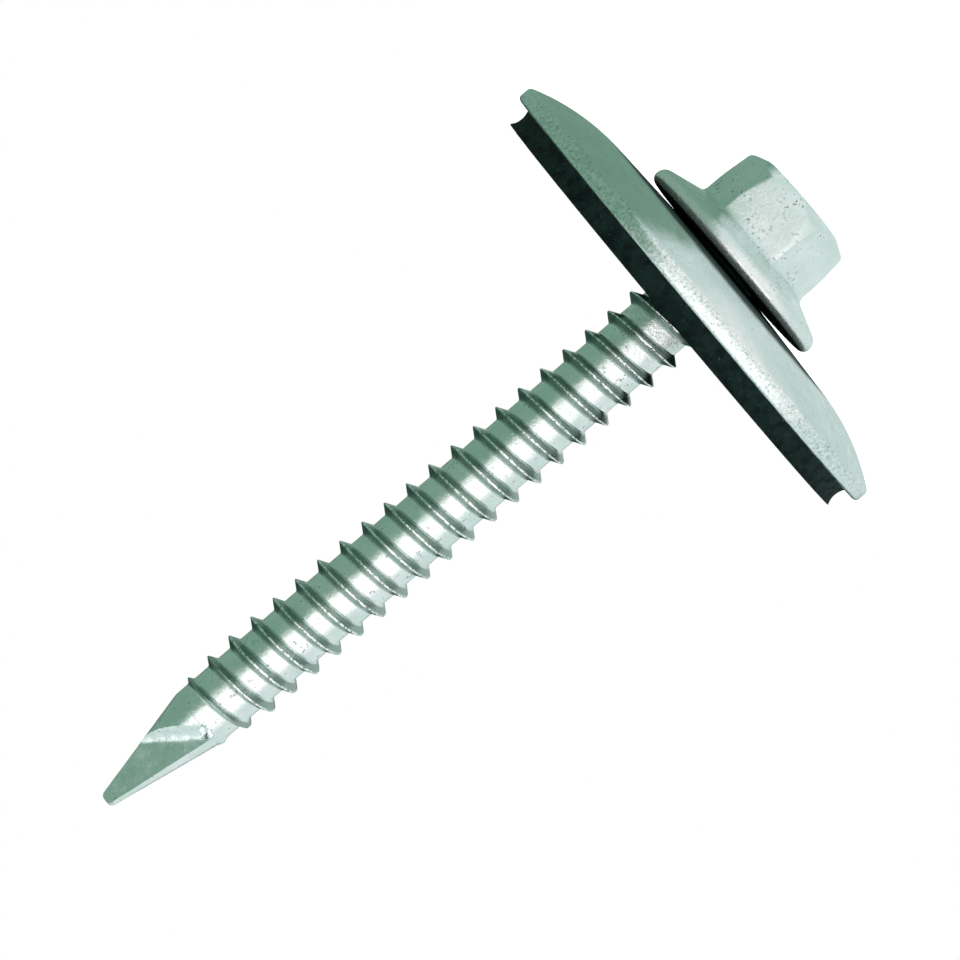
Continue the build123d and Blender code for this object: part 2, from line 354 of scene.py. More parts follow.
def crown_radius(z):
    """Distance from the axis to the crown chamfer and the long corner taper."""
    chamfer = CROWN_FLAT + (CROWN_SHOULDER - CROWN_FLAT) * z / CROWN_SHOULDER_DEPTH
    corner = ACROSS_FLATS / 2 / cos(pi / 6)
    taper_run = CORNER_TAPER_DEPTH - CROWN_SHOULDER_DEPTH
    taper = CROWN_SHOULDER + (corner - CROWN_SHOULDER) * (z - CROWN_SHOULDER_DEPTH) / taper_run
    return smooth_min(chamfer, taper, CROWN_BLEND)


def level_ring(angle, radius, z):
    """A ring of one radius at one height."""
    return np.full_like(angle, radius), np.full_like(angle, z)


def hexagon_rings(angle):
    """Rings of (radius, height) over the flat top, its crown and the hexagon's walls."""
    rings = [level_ring(angle, radius, 0) for radius in TOP_RADII]
    for z in HEX_HEIGHTS:
        height = np.full_like(angle, z)
        radius = smooth_min(hex_radius(angle, z), crown_radius(height), CORNER_BLEND)
        rings.append((radius, height))
    return rings


def cone_height(radius):
    """Height of the flange's cone at a distance from the axis."""
    return HEAD_HEIGHT - FLANGE_RIM_HEIGHT - (FLANGE_RADIUS - radius) * tan(FLANGE_CONE)


def cone_rings(angle):
    """Rings of the round at the hexagon's foot and of the flange's cone."""
    centre_r = hex_radius(angle, CORNER_TAPER_DEPTH) + HEX_FOOT_ROUND
    touch_r = centre_r - HEX_FOOT_ROUND * sin(FLANGE_CONE)
    touch_z = cone_height(touch_r)
    centre_z = touch_z - HEX_FOOT_ROUND * cos(FLANGE_CONE)
    rings = []
    for t in np.linspace(0, 1, FLANGE_STEPS):
        swing = pi - t * (pi / 2 - FLANGE_CONE)
        rings.append((centre_r + HEX_FOOT_ROUND * np.cos(swing),
                      centre_z + HEX_FOOT_ROUND * np.sin(swing)))
    end_r = FLANGE_RADIUS - FLANGE_TOP_ROUND + FLANGE_TOP_ROUND * sin(FLANGE_CONE)
    end_z = cone_height(end_r)
    for t in CONE_SHARES:
        rings.append((touch_r + (end_r - touch_r) * t, touch_z + (end_z - touch_z) * t))
    return rings


def rim_rings(angle):
    """Rings of the flange's upper round, its rim and the round at its seat."""
    rim_r = FLANGE_RADIUS - FLANGE_TOP_ROUND
    cone_z = cone_height(rim_r + FLANGE_TOP_ROUND * sin(FLANGE_CONE))
    rim_z = cone_z + FLANGE_TOP_ROUND * cos(FLANGE_CONE)
    rings = []
    for t in np.linspace(0, 1, FLANGE_STEPS)[1:]:
        swing = -(pi / 2 - FLANGE_CONE) * (1 - t)
        rings.append(level_ring(angle, rim_r + FLANGE_TOP_ROUND * cos(swing),
                                rim_z + FLANGE_TOP_ROUND * sin(swing)))
    seat_r = FLANGE_RADIUS - FLANGE_SEAT_ROUND
    seat_z = HEAD_HEIGHT - FLANGE_SEAT_ROUND
    for t in np.linspace(0, 1, SEAT_STEPS):
        swing = pi / 2 * t
        rings.append(level_ring(angle, seat_r + FLANGE_SEAT_ROUND * cos(swing),
                                seat_z + FLANGE_SEAT_ROUND * sin(swing)))
    return rings


def neck_rings(angle):
    """Rings of the seat under the flange, of the neck and of the step to the root."""
    rings = [level_ring(angle, radius, HEAD_HEIGHT) for radius in (*SEAT_RADII, NECK_RADIUS)]
    rings += [level_ring(angle, NECK_RADIUS, z) for z in (*NECK_HEIGHTS, NECK_END)]
    z = np.full_like(angle, SHANK_START)
    rings.append((shank_radius(angle, z, np.full_like(angle, PITCH / 2)), z))
    return rings


def uneven(angle, z, grain):
    """Smooth unevenness between about -1 and 1 over the surface of the shank."""
    around = ROOT_RADIUS * grain
    spots = np.stack([around * np.cos(angle), around * np.sin(angle), grain * z], -1)
    flat = spots.reshape(-1, 3)
    values = [noise.noise(Vector(spot)) for spot in flat]
    return np.array(values).reshape(z.shape)


def burr(angle, z):
    """Height of the lip squeezed out beside the end of one flute."""
    up = (z - BURR_Z) / BURR_SIZE
    sideways = np.mod(angle - BURR_ANGLE + pi, 2 * pi) - pi
    return BURR_HEIGHT * np.exp(-up ** 2 - sideways ** 2 / BURR_SPREAD ** 2)


def core_radius(angle, z):
    """The shank's root cylinder, the oblique cone of the point and its rounded tip."""
    share = np.clip((z - POINT_BASE_HEIGHT) / POINT_LENGTH, 0, 1)
    slope = (POINT_BASE_RADIUS - TIP_RADIUS) / POINT_LENGTH
    cone = POINT_BASE_RADIUS - slope * (z - POINT_BASE_HEIGHT)
    lean = np.arctan(slope)
    centre_z = TIP_HEIGHT - TIP_ROUND
    centre_r = TIP_RADIUS + slope * TIP_ROUND - TIP_ROUND / np.cos(lean)
    arc = centre_r + np.sqrt(np.maximum(TIP_ROUND ** 2 - (z - centre_z) ** 2, 0))
    cone = np.where(z > centre_z + TIP_ROUND * np.sin(lean), arc, cone)
    offset = -TIP_OFFSET * share
    point = offset * np.cos(angle) + np.sqrt(
        np.maximum(cone ** 2 - (offset * np.sin(angle)) ** 2, LEAST_SQUARE))
    on_point = np.clip((z - POINT_BASE_HEIGHT) / POINT_BLEND + 0.5, 0, 1)
    return ROOT_RADIUS * (1 - on_point) + point * on_point + burr(angle, z)


def flute_axes():
    """Origin, across and facing directions of the first flute's end wall."""
    slope = (WEB_AT_BASE - WEB_AT_TIP) / 2 / POINT_LENGTH
    outward = Vector((sin(FLUTE_TURN), -cos(FLUTE_TURN), 0))
    facing = (outward + Vector((0, 0, slope))).normalized()
    level = Vector((cos(FLUTE_TURN), sin(FLUTE_TURN), 0))
    upward = facing.cross(level).normalized()
    if upward.z < 0:
        upward.negate()
    across = upward * cos(FLUTE_END_ANGLE) - level * sin(FLUTE_END_ANGLE)
    half_web = WEB_AT_TIP / 2 + slope * FLUTE_END_HEIGHT
    origin = outward * half_web + Vector((0, 0, TIP_HEIGHT - FLUTE_END_HEIGHT))
    return np.array(origin), np.array(across), np.array(facing)


def flute_profile():
    """The flute's floor and its curled end wall, as (across, facing) points."""
    floor = [(x, 0.0) for x in np.arange(FLUTE_REACH, 0, -FLUTE_STEP)]
    curl = [(-FLUTE_END_ROUND * sin(a), FLUTE_END_ROUND * (1 - cos(a)))
            for a in np.linspace(0, FLUTE_END_SWEEP, FLUTE_CURL_STEPS)]
    edge, lip = curl[-1]
    wall = [(edge - rise / tan(FLUTE_END_SWEEP), lip + rise)
            for rise in np.arange(FLUTE_STEP, FLUTE_TALL, FLUTE_STEP)]
    back = [(FLUTE_REACH, wall[-1][1])]
    return np.array(floor + curl + wall + back)


def flute_cutter(name):
    """The tool that presses the first flute, with the unevenness it leaves behind."""
    origin, across, facing = flute_axes()
    lengthwise = np.cross(across, facing)
    profile = flute_profile()
    stations = np.arange(-FLUTE_REACH, FLUTE_REACH, FLUTE_STEP)
    points = []
    for station in stations:
        for x, y in profile:
            spot = origin + lengthwise * station + across * x + facing * y
            wave = noise.noise(Vector(spot * FLUTE_WAVE_GRAIN)) * FLUTE_WAVE
            tear = max(0.0, noise.noise(Vector(spot * FLUTE_TEAR_GRAIN))) * FLUTE_TEAR
            share = 1.0 if spot[2] < FLUTE_TEAR_HEIGHT else FLUTE_TEAR_SHARE
            on_wall = share * (x < 0)
            points.append(spot - facing * wave - across * tear * on_wall)
    count = len(profile)
    faces = quads(len(stations), count, True)
    faces.append(tuple(reversed(range(count))))
    faces.append(tuple(range((len(stations) - 1) * count, len(stations) * count)))
    return build_mesh(name, points, faces, False)


def cut_flutes(obj):
    """Presses the two flutes, half a turn apart, out of the point."""
    first = flute_cutter("flute_tool_a")
    second = flute_cutter("flute_tool_b")
    second.data.transform(Matrix.Rotation(pi, 4, "Z"))
    for cutter in (first, second):
        change = obj.modifiers.new("flute", "BOOLEAN")
        change.operation = "DIFFERENCE"
        change.solver = "EXACT"
        change.object = cutter
    bpy.context.view_layer.update()
    solved = obj.evaluated_get(bpy.context.evaluated_depsgraph_get())
    pressed = bpy.data.meshes.new_from_object(solved)
    obj.modifiers.clear()
    obj.data = pressed
    for cutter in (first, second):
        bpy.data.objects.remove(cutter)


def shank_radius(angle, z, off_crest):
    """Root, thread and point: off_crest is the distance along Z to the nearest crest."""
    steep = (THREAD_RADIUS - ROOT_RADIUS) / ((THREAD_BASE - THREAD_CREST) / 2)
    rise = np.clip((z - THREAD_START) / THREAD_RISE, 0, 1)
    fade = np.sqrt(np.clip((THREAD_END - z) / THREAD_FADE, 0, 1))
    bottom = ROOT_RADIUS - THREAD_SINK / 2
    crest = bottom + (THREAD_RADIUS - bottom) * np.minimum(rise, fade)
    tooth = crest - steep * np.maximum(np.abs(off_crest) - THREAD_CREST / 2, 0)
    tooth = np.where(z < THREAD_END, tooth, 0)
    radius = smooth_max(core_radius(angle, z), tooth, CREST_BLEND)
    on_crest = np.clip(1 - np.abs(off_crest) / CREST_WEAR_WIDTH, 0, 1)
    on_crest = on_crest * np.clip((crest - ROOT_RADIUS) / CREST_WEAR, 0, 1)
    wear = uneven(angle, z, CREST_WEAR_GRAIN)
    return radius - on_crest * CREST_WEAR * np.maximum(wear, 0) + WALL_WAVE * (
        uneven(angle, z, WALL_GRAIN) - 1)


def thread_offsets():
    """Places of the rows in one pitch, measured from the crest."""
    falling = list(THREAD_ROWS)
    rising = [PITCH - row for row in reversed(falling[:-1])]
    return np.array([0.0] + falling + [PITCH / 2] + rising)


def thread_rows(angle, bottom, top):
    """Angle, height and radius of rows that follow the helix between two level rings."""
    offsets = thread_offsets()
    first = int(np.floor((bottom - CREST_PHASE) / PITCH)) - 2
    last = int(np.ceil((top - CREST_PHASE) / PITCH)) + 1
    closed = np.append(angle, angle[0] + 2 * pi)
    rows = []
    for turn in range(first, last):
        for offset in offsets:
            base = CREST_PHASE + PITCH * turn + offset
            z = np.clip(base + PITCH * closed / (2 * pi), bottom, top)
            rows.append(z)
    z = np.array(rows)
    around = np.broadcast_to(np.append(angle, angle[0]), z.shape)
    turned = np.broadcast_to(closed, z.shape)
    phase = np.mod(z - CREST_PHASE - PITCH * turned / (2 * pi) + PITCH / 2, PITCH) - PITCH / 2
    return around, z, shank_radius(around, z, phase)


def to_points(angle, radius, z):
    """Points in space, row by row."""
    return np.stack([radius * np.cos(angle), radius * np.sin(angle), z], -1).reshape(-1, 3)


def tip_points(angle):
    """Points of the level rings from the thread's end to the tip, closed in the middle."""
    heights = np.linspace(THREAD_END, TIP_HEIGHT - TIP_ROUND, POINT_RINGS)
    swing = np.linspace(TIP_START, 1, TIP_RINGS) * pi / 2
    heights = np.concatenate([heights, TIP_HEIGHT - TIP_ROUND * (1 - np.sin(swing))])
    z = np.repeat(heights[:, None], len(angle), 1)
    around = np.broadcast_to(angle, z.shape)
    radius = shank_radius(around, z, np.full_like(z, PITCH / 2))
    rim = to_points(angle, radius[-1], z[-1])
    middle = np.array([-TIP_OFFSET, 0, TIP_HEIGHT])
    cap = [middle + (rim - middle) * share for share in CAP_SHARES]
    return np.concatenate([to_points(around, radius, z)] + cap)


def make_screw():
    """Head, thread and point as one closed mesh, with both flutes pressed in."""
    angle = screw_angles()
    columns = len(angle)
    rings = hexagon_rings(angle) + cone_rings(angle) + rim_rings(angle) + neck_rings(angle)
    head = np.concatenate([to_points(angle, radius, z) for radius, z in rings])
    around, z, radius = thread_rows(angle, SHANK_START, THREAD_END)
    thread = to_points(around, radius, z)
    tip = tip_points(angle)
    faces = quads(len(rings), columns, True)
    faces += quads(len(z), columns + 1, False, len(head))
    faces += quads(len(tip) // columns, columns, True, len(head) + len(thread))
    points = np.concatenate([head, thread, tip])
    obj = add_mesh("screw_body", points, faces, "screw_body", "screw")
    cut_flutes(obj)
    return obj


# ---------------------------------------------------------------- washer and seal
def askew():
    """The turn that tilts the loose washer and its seal about the middle of its crown."""
    pivot = Vector((0, 0, WASHER_CROWN_HEIGHT))
    level = Vector((sin(WASHER_TILT_TOWARDS), -cos(WASHER_TILT_TOWARDS), 0))
    turn = Matrix.Rotation(WASHER_TILT, 4, level)
    return np.array(Matrix.Translation(pivot) @ turn @ Matrix.Translation(-pivot))


def dish_centre():
    """Centre of the skirt's arcs."""
    bend_z = WASHER_CROWN_HEIGHT + (DISH_FLAT_RADIUS - WASHER_BORE) * sin(DISH_SLOPE)
    return DISH_FLAT_RADIUS - DISH_ARC * sin(DISH_SLOPE), bend_z + DISH_ARC * cos(DISH_SLOPE)


def dish_layer(depth, inner, outer):
    """Points of the dish's profile at a depth under its crown side, from bore to rim."""
    centre_r, centre_z = dish_centre()
    arc = DISH_ARC - depth
    last = asin((outer - centre_r) / arc)
    bend = (centre_r + arc * sin(DISH_SLOPE), centre_z - arc * cos(DISH_SLOPE))
    flat = [(r, bend[1] - (bend[0] - r) * tan(DISH_SLOPE))
            for r in np.linspace(inner, bend[0], DISH_FLAT_STEPS)]
    skirt = [(centre_r + arc * sin(a), centre_z - arc * cos(a))
             for a in np.linspace(DISH_SLOPE, last, DISH_SKIRT_STEPS)[1:]]
    return np.array(flat + skirt)


def round_corner(before, corner, after, radius, steps):
    """Points of an arc that rounds one corner of a profile."""
    before, corner, after = (np.asarray(p, float) for p in (before, corner, after))
    to_before = (before - corner) / np.linalg.norm(before - corner)
    to_after = (after - corner) / np.linalg.norm(after - corner)
    half = np.arccos(np.clip(to_before @ to_after, -1, 1)) / 2
    inwards = (to_before + to_after) / np.linalg.norm(to_before + to_after)
    middle = corner + inwards * radius / sin(half)
    start = corner + to_before * radius / tan(half) - middle
    end = corner + to_after * radius / tan(half) - middle
    points = []
    for t in np.linspace(0, 1, steps):
        spoke = start * (1 - t) + end * t
        points.append(middle + spoke / np.linalg.norm(spoke) * radius)
    return np.array(points)


def spun(profile, name, node, change):
    """A closed ring from a profile of (radius, height), tilted with the washer."""
    angle = np.arange(WASHER_COLUMNS) * 2 * pi / WASHER_COLUMNS
    radius = np.repeat(profile[:, :1], WASHER_COLUMNS, 1)
    z = np.repeat(profile[:, 1:], WASHER_COLUMNS, 1)
    around = np.broadcast_to(angle, z.shape)
    points = to_points(around, change(around, radius, z), z)
    tilt = askew()
    points = points @ tilt[:3, :3].T + tilt[:3, 3]
    rows = len(profile)
    faces = quads(rows, WASHER_COLUMNS, True)
    last = (rows - 1) * WASHER_COLUMNS
    for column in range(WASHER_COLUMNS):
        after = (column + 1) % WASHER_COLUMNS
        faces.append((last + column, last + after, after, column))
    return add_mesh(name, points, faces, "sealing_washer", node)


def rolled(around, radius, z):
    """Radius of the steel washer, with the slight unevenness of its rolled rim."""
    at_rim = np.clip((radius - (WASHER_RADIUS - RIM_TOP_ROUND)) / RIM_TOP_ROUND, 0, 1)
    wave = RIM_WAVE_MIDDLE + (np.sin(RIM_WAVE_COUNTS[0] * around + RIM_WAVE_STARTS[0])
                              * np.sin(RIM_WAVE_COUNTS[1] * around + RIM_WAVE_STARTS[1]))
    return radius - at_rim * RIM_WAVE * wave


def make_steel_washer():
    """The dished disc, with a rounded rim."""
    crown = dish_layer(0, WASHER_BORE, WASHER_RADIUS)
    under = dish_layer(WASHER_THICKNESS, WASHER_BORE, WASHER_RADIUS)
    top = round_corner(crown[-RIM_LEAD], crown[-1], under[-1], RIM_TOP_ROUND, RIM_TOP_STEPS)
    foot = round_corner(crown[-1], under[-1], under[-RIM_LEAD], RIM_UNDER_ROUND, RIM_UNDER_STEPS)
    crown = crown[crown[:, 0] < top[0, 0] - RIM_CLEAR]
    under = under[under[:, 0] < foot[-1, 0] - RIM_CLEAR]
    profile = np.concatenate([crown, top, foot, under[::-1]])
    return spun(profile, "washer_disc", "steel_washer", rolled)


def ragged(around, radius, z):
    """Radius of the seal, with the die's marks: a wavy edge, and rags at its lower corner."""
    edge = SEAL_RADIUS - SEAL_EDGE_BAND
    near_edge = np.clip((radius - edge) / SEAL_EDGE_FADE, 0, 1)
    spots = np.stack([SEAL_RADIUS * np.cos(around), SEAL_RADIUS * np.sin(around), z], -1)
    flat = spots.reshape(-1, 3)
    fine = [noise.noise(Vector(spot * SEAL_WAVE_GRAIN)) for spot in flat]
    coarse = [noise.noise(Vector((spot[0] * SEAL_NUB_GRAIN, spot[1] * SEAL_NUB_GRAIN, SEAL_NUB_SLICE)))
              for spot in flat]
    fine = np.array(fine).reshape(z.shape)
    coarse = np.array(coarse).reshape(z.shape)
    lower = np.clip((z - z.max() + SEAL_NUB_TALL) / SEAL_NUB_TALL, 0, 1)
    inward = SEAL_WAVE * (fine + 1) + SEAL_NUB * lower * np.maximum(coarse, 0)
    return radius - near_edge * inward * (radius > edge)


def make_rubber_seal():
    """The ring bonded under the disc, with a hollow cut edge."""
    bonded = dish_layer(WASHER_THICKNESS, SEAL_BORE, SEAL_RADIUS)
    free = dish_layer(WASHER_THICKNESS + SEAL_THICKNESS, SEAL_BORE, SEAL_RADIUS - SEAL_FOOT_INSET)
    edge = []
    for t in np.linspace(0, 1, SEAL_EDGE_STEPS)[1:-1]:
        chord = bonded[-1] * (1 - t) + free[-1] * t
        edge.append((chord[0] - SEAL_EDGE_HOLLOW * 4 * t * (1 - t), chord[1]))
    profile = np.concatenate([bonded, np.array(edge), free[::-1]])
    return spun(profile, "seal_ring", "rubber_seal", ragged)


# ---------------------------------------------------------------- materials
def new_material(name):
    """A material with its node tree and its shader."""
    material = bpy.data.materials.new(name)
    material.use_nodes = True
    shader = material.node_tree.nodes["Principled BSDF"]
    return material, material.node_tree, shader


def add_node(tree, kind, inputs=None, **settings):
    """A node whose inputs are set to values or linked to other nodes' outputs."""
    item = tree.nodes.new(kind)
    for name, value in settings.items():
        setattr(item, name, value)
    for name, value in (inputs or {}).items():
        if isinstance(value, bpy.types.NodeSocket):
            tree.links.new(value, item.inputs[name])
        else:
            item.inputs[name].default_value = value
    return item


def in_millimetres(tree):
    """The object's own coordinates in millimetres."""
    place = add_node(tree, "ShaderNodeTexCoord")
    scale = add_node(tree, "ShaderNodeVectorMath",
                     {0: place.outputs["Object"], 1: (1000, 1000, 1000)}, operation="MULTIPLY")
    return scale.outputs["Vector"]


def grain(tree, vector, scale, detail=3.0, rough=0.55):
    """Noise between 0 and 1."""
    return add_node(tree, "ShaderNodeTexNoise",
                    {"Vector": vector, "Scale": scale, "Detail": detail, "Roughness": rough}
                    ).outputs["Fac"]


def between(tree, value, low, high, to_low=0.0, to_high=1.0):
    """Maps a value smoothly from low..high to to_low..to_high."""
    return add_node(tree, "ShaderNodeMapRange",
                    {"Value": value, "From Min": low, "From Max": high,
                     "To Min": to_low, "To Max": to_high}, interpolation_type="SMOOTHSTEP"
                    ).outputs["Result"]


def past(tree, value, place, step):
    """A mask that rises over a step measured from a place."""
    return between(tree, value, place + step[0], place + step[1])


def blend(tree, factor, a, b):
    """Colour a, replaced by colour b as far as the factor says."""
    return add_node(tree, "ShaderNodeMix", {"Factor": factor, "A": a, "B": b},
                    data_type="RGBA").outputs["Result"]


def maths(tree, operation, a, b):
    """The result of one operation on two values."""
    return add_node(tree, "ShaderNodeMath", {0: a, 1: b}, operation=operation).outputs["Value"]


def times(tree, a, b):
    """The product of two values."""
    return maths(tree, "MULTIPLY", a, b)


def from_axis(tree, place):
    """Distance from the screw's axis, in millimetres."""
    split = add_node(tree, "ShaderNodeVectorMath", {0: place, 1: (1, 1, 0)}, operation="MULTIPLY")
    return add_node(tree, "ShaderNodeVectorMath", {0: split.outputs["Vector"]},
                    operation="LENGTH").outputs["Value"]


def height_of(tree, place):
    """Height over the floor, in millimetres."""
    return add_node(tree, "ShaderNodeSeparateXYZ", {0: place}).outputs["Z"]


def add_bump(tree, shader, strength, distance, height):
    """Fine relief that only the shader has."""
    bump = add_node(tree, "ShaderNodeBump",
                    {"Strength": strength, "Distance": distance, "Height": height})
    tree.links.new(bump.outputs["Normal"], shader.inputs["Normal"])


def zinc_pits(tree, place):
    """Small dark pits, in patches."""
    patches = between(tree, grain(tree, place, *ZINC_PATCHES), *PATCH_BAND)
    return times(tree, between(tree, grain(tree, place, *ZINC_PITS), *PIT_BAND), patches)


def zinc_colour(tree, place, pale, green, speckle, grains, pits):
    """Cloudy tint with bright grains and dark pits."""
    clouds = between(tree, grain(tree, place, *ZINC_CLOUDS), *CLOUD_BAND)
    colour = blend(tree, clouds, green, pale)
    sparks = between(tree, grains, *SPARK_BAND, 0.0, SPARK_SHARE * speckle)
    colour = blend(tree, sparks, colour, SPARK_COLOUR)
    return blend(tree, times(tree, pits, PIT_SHARE * speckle), colour, DARK_ZINC_COLOUR)


def zinc(name, pale, green, roughness, speckle, gap, painted_light, rim=None):
    """Zinc plating with painted highlights and painted shade, painted shade inside the gap and, if
    given, a dull rim with a painted highlight.
    """
    material, tree, shader = new_material(name)
    place = in_millimetres(tree)
    grains = grain(tree, place, *ZINC_GRAINS)
    pits = zinc_pits(tree, place)
    gap_shade = gap(tree, place)
    colour = zinc_colour(tree, place, pale, green, speckle, grains, pits)
    # painted highlights and shade, then painted shade inside the gap
    colour = blend(tree, gap_shade, painted_light(tree, place, colour, grains), GAP_SHADE_COLOUR)
    tree.links.new(colour, shader.inputs["Base Color"])
    gloss = between(tree, grain(tree, place, *GLOSS_CLOUDS), *GLOSS_BAND,
                    roughness - GLOSS_LESS, roughness + GLOSS_MORE)
    rough = maths(tree, "ADD", gloss, times(tree, gap_shade, GAP_SHADE_ROUGHNESS))
    tree.links.new(rough, shader.inputs["Roughness"])
    metal = maths(tree, "SUBTRACT", 1.0, gap_shade)
    if rim:
        # the flange rim's painted highlight is less metallic too
        metal = maths(tree, "SUBTRACT", metal, times(tree, rim(tree, place), RIM_DULL))
    tree.links.new(metal, shader.inputs["Metallic"])
    shader.inputs["Specular IOR Level"].default_value = ZINC_SPECULAR
    height = maths(tree, "SUBTRACT", grain(tree, place, *ZINC_RELIEF), times(tree, pits, PIT_DEPTH))
    add_bump(tree, shader, ZINC_BUMP, ZINC_BUMP_HEIGHT * speckle, height)
    return material


def flange_rim_highlight(tree, place):
    """Where the flange's rim is painted pale and dull, a painted highlight band."""
    height = height_of(tree, place)
    low = past(tree, height, HEAD_HEIGHT - FLANGE_RIM_HEIGHT, FLANGE_LOW_STEP)
    high = past(tree, height, HEAD_HEIGHT, FLANGE_HIGH_STEP)
    out = past(tree, from_axis(tree, place), FLANGE_RADIUS, FLANGE_OUT_STEP)
    return times(tree, times(tree, low, high), out)


def torn_end_shade(tree, place):
    """Painted shade in the torn pit where each flute runs out into the point."""
    jitter = times(tree, grain(tree, place, *TEAR_GRAINS), TEAR_RAGGED)
    x, y, z = TEAR_PLACE
    masks = []
    for side in (1, -1):
        away = add_node(tree, "ShaderNodeVectorMath", {0: place, 1: (side * x, side * y, z)},
                        operation="DISTANCE").outputs["Value"]
        masks.append(past(tree, maths(tree, "ADD", away, jitter), TEAR_SIZE, TEAR_STEP))
    return maths(tree, "MAXIMUM", *masks)


def thread_masks(tree, place, grains):
    """The thread's flanks, for painted shade, and the painted shade gaps and painted highlight dashes
    along its crest.
    """
    off_axis = from_axis(tree, place)
    height = height_of(tree, place)
    threaded = times(tree, past(tree, height, NECK_END, THREAD_PAINT_START_STEP),
                     past(tree, height, THREAD_END, THREAD_PAINT_END_STEP))
    flank = times(tree, past(tree, off_axis, ROOT_RADIUS, FLANK_FOOT_STEP),
                  past(tree, off_axis, THREAD_RADIUS, FLANK_TOP_STEP))
    crest = past(tree, off_axis, THREAD_RADIUS, CREST_STEP)
    gaps = times(tree, between(tree, grains, *CREST_GAP_BAND), crest)
    dashes = times(tree, between(tree, grains, *CREST_DASH_BAND), crest)
    return [times(tree, mask, threaded) for mask in (flank, gaps, dashes)]


def screw_painted_light(tree, place, colour, grains):
    """Painted light: a pale flange rim as a painted highlight, painted shade on the flanks, painted
    highlight dashes along the crests with painted shade between them, painted shade in the torn flute
    ends.
    """
    flank, gaps, dashes = thread_masks(tree, place, grains)
    # painted highlight on the flange's rim
    pale = times(tree, flange_rim_highlight(tree, place), FLANGE_RIM_HIGHLIGHT_SHARE)
    colour = blend(tree, pale, colour, FLANGE_RIM_HIGHLIGHT_COLOUR)
    # painted shade on the flanks and in the gaps along the crest
    colour = blend(tree, times(tree, flank, FLANK_SHADE_SHARE), colour, FLANK_SHADE_COLOUR)
    colour = blend(tree, times(tree, gaps, CREST_GAP_SHARE), colour, CREST_GAP_SHADE_COLOUR)
    # painted shade in the torn flute ends
    torn = times(tree, torn_end_shade(tree, place), TEAR_SHARE)
    colour = blend(tree, torn, colour, DARK_ZINC_COLOUR)
    # painted highlight dashes along the crests
    return blend(tree, dashes, colour, HIGHLIGHT_COLOUR)


def washer_rim_highlight(tree, place, colour, grains):
    """Painted highlight along the washer's rolled rim, broken by dark specks."""
    at_rim = past(tree, from_axis(tree, place), WASHER_RADIUS, WASHER_RIM_HIGHLIGHT_STEP)
    # painted highlight and dark specks on the washer's rim
    bright = times(tree, at_rim, between(tree, grains, *WASHER_RIM_HIGHLIGHT_BAND))
    dark = times(tree, at_rim, between(tree, grains, *RIM_DARK_BAND))
    colour = blend(tree, times(tree, bright, WASHER_RIM_HIGHLIGHT_SHARE), colour, HIGHLIGHT_COLOUR)
    return blend(tree, times(tree, dark, RIM_DARK_SHARE), colour, RIM_DARK_COLOUR)


def screw_gap_shade(tree, place):
    """Painted shade on the flange's seat and the neck, inside the gap."""
    height = height_of(tree, place)
    return times(tree, past(tree, height, HEAD_HEIGHT, SEAT_SHADE_STEP),
                 past(tree, height, NECK_END, NECK_SHADE_STEP))


def washer_gap_shade(tree, place):
    """Painted shade on the middle of the washer's crown side, under the flange."""
    moved = add_node(tree, "ShaderNodeVectorMath", {0: place, 1: (0, GAP_SHADE_SHIFT, 0)},
                     operation="ADD").outputs["Vector"]
    jitter = times(tree, grain(tree, place, GAP_SHADE_GRAIN), GAP_SHADE_RAGGED)
    edge = maths(tree, "ADD", from_axis(tree, moved), jitter)
    return past(tree, edge, GAP_SHADE_RADIUS, GAP_SHADE_STEP)


def rubber(name):
    """EPDM: near black with a green cast, grainy, with fine pale specks."""
    material, tree, shader = new_material(name)
    place = in_millimetres(tree)
    clouds = between(tree, grain(tree, place, *RUBBER_CLOUDS), *RUBBER_CLOUD_BAND)
    colour = blend(tree, clouds, RUBBER_DARK, RUBBER_PALE)
    specks = between(tree, grain(tree, place, *RUBBER_SPECKS), *RUBBER_SPECK_BAND,
                     0.0, RUBBER_SPECK_SHARE)
    colour = blend(tree, specks, colour, RUBBER_SPECK_COLOUR)
    tree.links.new(colour, shader.inputs["Base Color"])
    rough = between(tree, grain(tree, place, *RUBBER_GLOSS), *GLOSS_BAND, *RUBBER_ROUGHNESS)
    tree.links.new(rough, shader.inputs["Roughness"])
    shader.inputs["Specular IOR Level"].default_value = RUBBER_SPECULAR
    relief = grain(tree, place, *RUBBER_RELIEF)
    add_bump(tree, shader, RUBBER_BUMP, RUBBER_BUMP_HEIGHT, relief)
    return material


# ---------------------------------------------------------------- stage
# Directions in the studio, and bands of the cosine between them and a mirrored ray
BACK = (0.0, 1.0, 0.0)               # away from the camera, grey
BACK_BAND = (0.70, 0.98)
BACK_DARK_BAND = (0.93, 0.985)       # straight behind the screw the studio is dark
BRIGHT_SIDE = (-0.375, -0.927, 0.0)  # the brightest part, by the lamp
BRIGHT_BAND = (0.58, 0.74)
GREEN_SIDE = (0.996, 0.087, 0.0)     # the dark green side
GREEN_BAND = (0.25, 0.37)
DARK_TOP = (0.0, 0.8, 0.6)           # high up behind the screw
DARK_TOP_BAND = (0.78, 0.92)
STUDIO_LIGHT = (0.74, 0.84, 0.825, 1)
STUDIO_WHITE = (1.0, 1.0, 1.0, 1)
STUDIO_GREY = (0.58, 0.70, 0.67, 1)
STUDIO_GREEN = (0.21, 0.355, 0.28, 1)
STUDIO_DARK = (0.04, 0.09, 0.07, 1)
FLOOR_REACH = 0.5             # metres from the screw to the floor's edges
FLOOR_COLOUR = (0.85, 0.85, 0.85, 1)
FLOOR_ROUGHNESS = 0.9
FLOOR_GLOW = 0.9              # light of its own, which only the camera sees
FLOOR_SOFTNESS = 0.004        # metres over which the floor's sides run together
